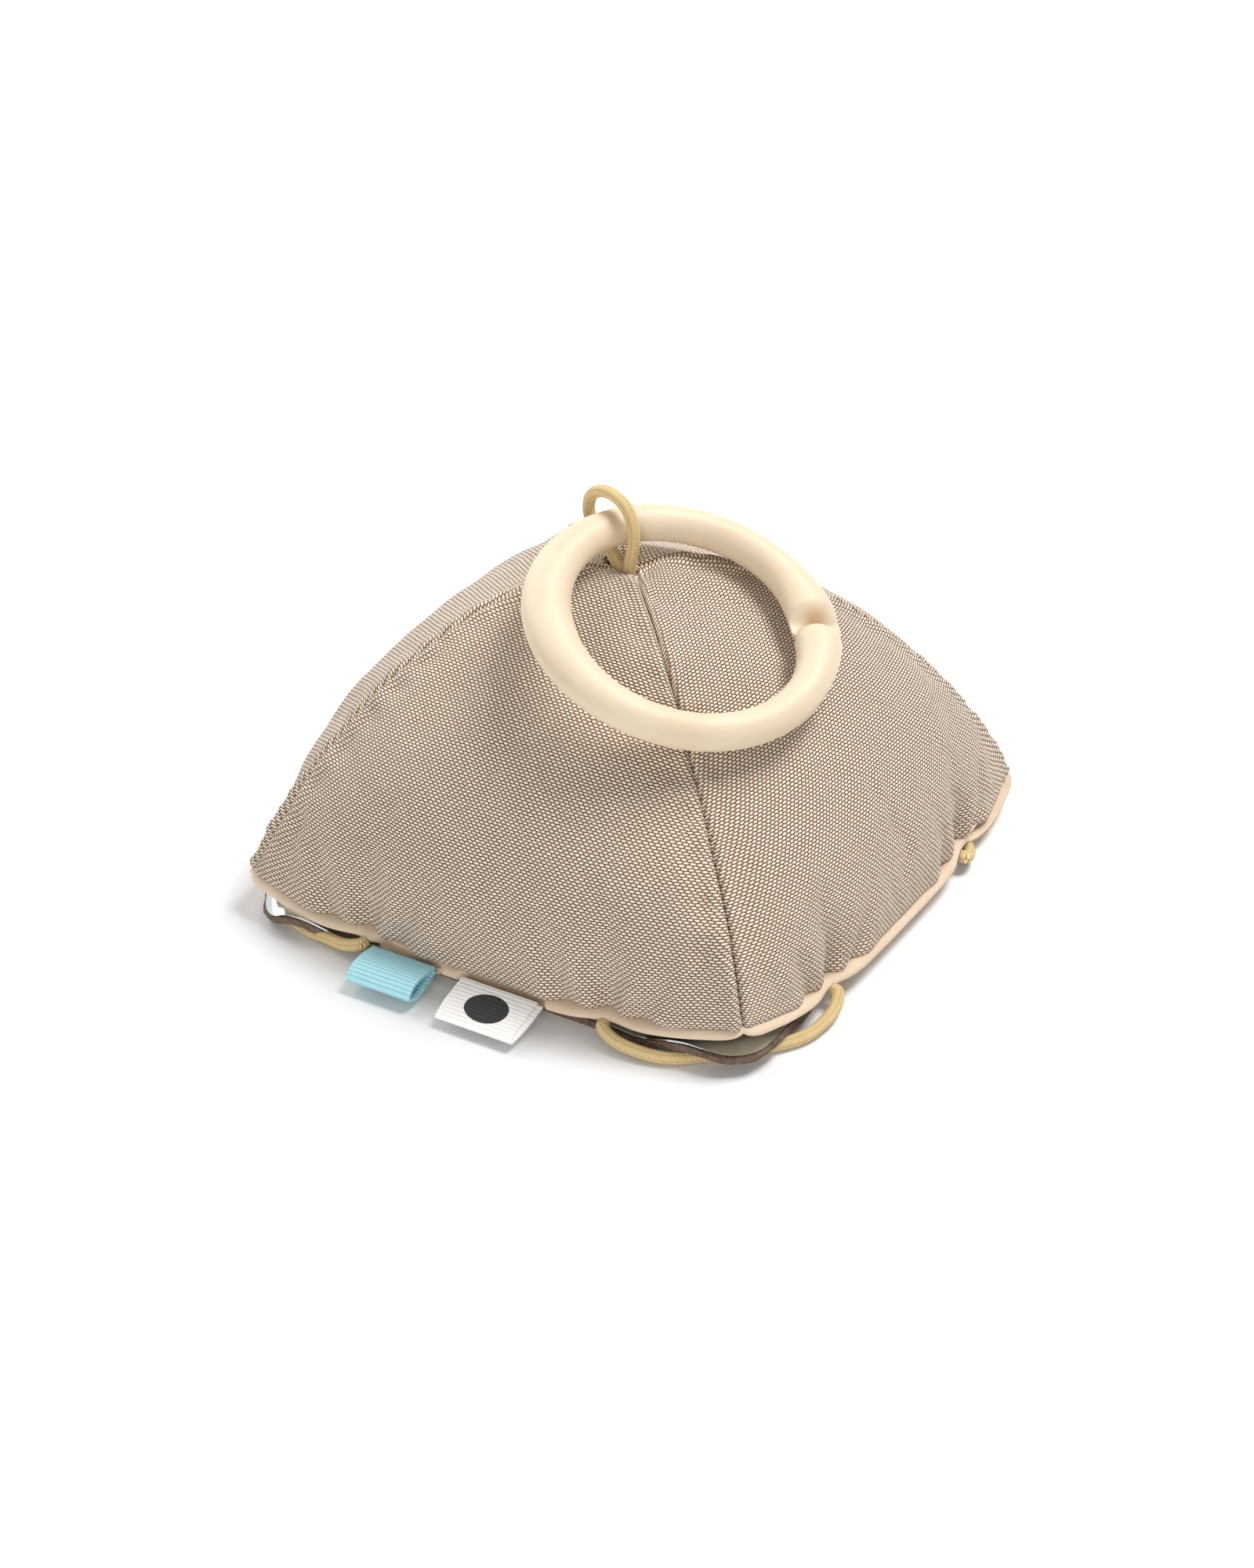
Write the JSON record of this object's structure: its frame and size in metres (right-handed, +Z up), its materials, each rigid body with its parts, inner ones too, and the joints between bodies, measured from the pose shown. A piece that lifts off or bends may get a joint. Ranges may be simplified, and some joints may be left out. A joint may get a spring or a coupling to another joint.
{
  "type": "pyramid sensory pillow",
  "caption": "Stuffed four-sided canvas pyramid with a split hanging ring looped to its peak, ribbon tags in its front seam and a mirror sheet held under it by corner elastics.",
  "frame": {"origin": "middle of the pillow's base on the floor, under the mirror sheet", "axes": "+Z up towards the peak, -Y towards the side with the ribbon tags, +X to the right of it"},
  "size_m": [0.149, 0.1575, 0.0972],
  "materials": {
    "canvas": "coarse plain weave",
    "twill": "fine diagonal twill",
    "filling": "loose fibre",
    "elastic": "braided",
    "ring": "satin",
    "felt": "felted",
    "mirror": "polished film",
    "blue_ribbon": "ribbed",
    "white_ribbon": "ribbed, with a printed black dot"
  },
  "bodies": {
    "pillow": {"front_panel": "canvas", "right_panel": "canvas", "back_panel": "canvas", "left_panel": "canvas", "base_panel": "twill", "fibre_filling": "filling", "corner_elastic_front_right": "elastic", "corner_elastic_back_right": "elastic", "corner_elastic_back_left": "elastic", "corner_elastic_front_left": "elastic"},
    "loop": {"hanging_loop": "elastic"},
    "ring": {"hanging_ring": "ring"},
    "mirror": {"mirror_felt": "felt", "mirror_film": "mirror"},
    "blue_tag": {"blue_ribbon_tag": "blue_ribbon"},
    "white_tag": {"white_ribbon_tag": "white_ribbon"}
  },
  "joints": [
    {"name": "loop_lean", "type": "hinge", "parent": "pillow", "child": "loop", "pos_m": [-0.0023, -0.0014, 0.0805], "axis": [-0.4492, -0.8934, 0], "range_deg": [0, 28], "deforming": ["hanging_loop"]},
    {"name": "ring_swing", "type": "hinge", "parent": "loop", "child": "ring", "pos_m": [-0.0059, -0.0012, 0.0874], "axis": [-0.4488, -0.8928, 0.0381], "range_deg": [0, 180]},
    {"name": "mirror_pull", "type": "slide", "parent": "pillow", "child": "mirror", "axis": [0, 0, -1], "range_m": [0, 0.02], "stiffness_N_per_m": 30, "springref_m": -0.01, "deforming": ["corner_elastic_front_right", "corner_elastic_back_right", "corner_elastic_back_left", "corner_elastic_front_left"]},
    {"name": "blue_tag_flap", "type": "hinge", "parent": "pillow", "child": "blue_tag", "pos_m": [-0.0195, -0.0722, 0.004], "axis": [-1, 0, 0], "range_deg": [0, 40], "stiffness_Nm_per_rad": 0.0008},
    {"name": "white_tag_flap", "type": "hinge", "parent": "pillow", "child": "white_tag", "pos_m": [0.0062, -0.0725, 0.004], "axis": [-1, 0, 0], "range_deg": [0, 60], "stiffness_Nm_per_rad": 0.0008}
  ]
}
